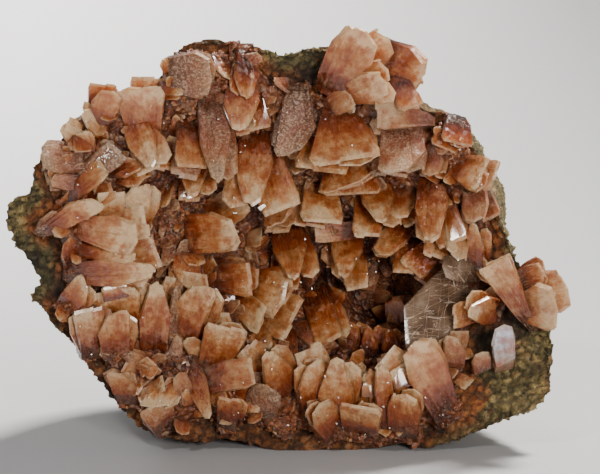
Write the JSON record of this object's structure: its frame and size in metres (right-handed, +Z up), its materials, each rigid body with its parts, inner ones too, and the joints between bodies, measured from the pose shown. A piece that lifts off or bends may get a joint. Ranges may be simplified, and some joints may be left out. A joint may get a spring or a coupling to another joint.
{
  "type": "heulandite crystal specimen",
  "caption": "Piece of basalt cavity wall lined with peach to orange bladed heulandite crystals around a deep dark hollow, resting on a flat of its rock",
  "frame": {"origin": "on the flat that the rock rests on, under the middle of the specimen", "axes": "+X to the viewer's right along the specimen's width, which is its longest side; +Y away from the viewer, into the rock; +Z up from the flat"},
  "size_m": [0.101, 0.0601, 0.0771],
  "materials": {
    "rock": "rough, grainy olive to grey-green weathered basalt",
    "crystal": "translucent peach crystal, orange to red-brown at the root, glossy flat faces with fine growth lines",
    "pale_crystal": "translucent cream to pink crystal with strong growth lines and an orange root",
    "clear_crystal": "clear pearly blue-white crystal"
  },
  "bodies": {
    "root": {"basalt_shell": "rock", "crystal_crust": "crystal", "top_cluster": "crystal", "right_sheaf": "pale_crystal", "ledge_blade": "clear_crystal", "ledge_stub": "pale_crystal"}
  },
  "joints": []
}
